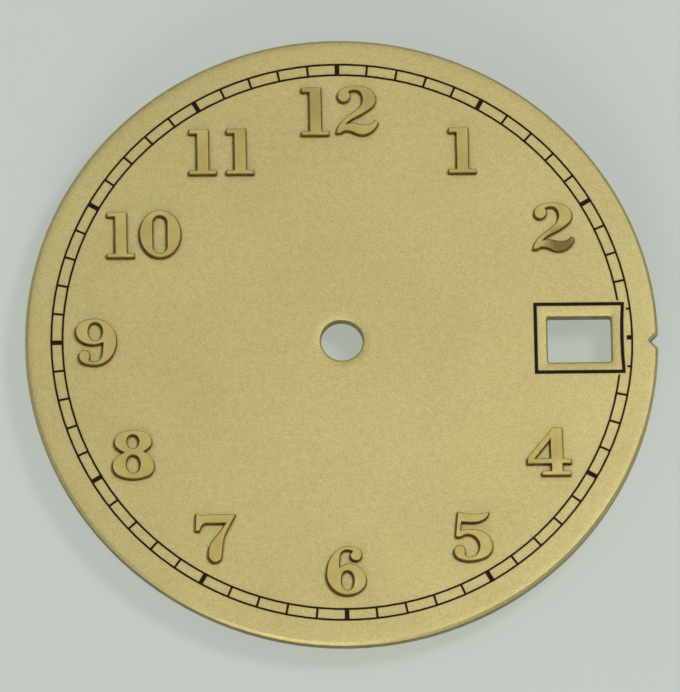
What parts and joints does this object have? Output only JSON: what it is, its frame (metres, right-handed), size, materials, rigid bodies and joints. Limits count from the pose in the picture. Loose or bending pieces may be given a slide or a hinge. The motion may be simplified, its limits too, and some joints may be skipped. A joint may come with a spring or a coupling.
{
  "type": "watch dial",
  "caption": "Round watch dial with applied serif numerals, a printed minute track, a date window at 3 o'clock and two dial feet.",
  "frame": {"origin": "on the centre hole's axis, at the plate's flat back face", "axes": "+Z out of the face, +Y towards 12 o'clock, +X towards 3 o'clock"},
  "size_m": [0.0284, 0.0284, 0.0029],
  "materials": {
    "plate": "pale gold plating, finely matted face, brushed back",
    "numerals": "polished gilt",
    "print": "black pad-printed ink",
    "feet": "bare drawn copper",
    "solder": "dull tin solder"
  },
  "bodies": {
    "root": {"dial_plate": "plate", "numeral_12_one": "numerals", "numeral_12_two": "numerals", "numeral_1": "numerals", "numeral_2": "numerals", "numeral_4": "numerals", "numeral_5": "numerals", "numeral_6": "numerals", "numeral_7": "numerals", "numeral_8": "numerals", "numeral_9": "numerals", "numeral_10_one": "numerals", "numeral_10_zero": "numerals", "numeral_11_left": "numerals", "numeral_11_right": "numerals", "outer_circle": "print", "inner_circle": "print", "minute_marks": "print", "five_minute_marks": "print", "date_frame": "print", "dial_foot_upper": "feet", "foot_solder_upper": "solder", "dial_foot_lower": "feet", "foot_solder_lower": "solder"}
  },
  "joints": []
}
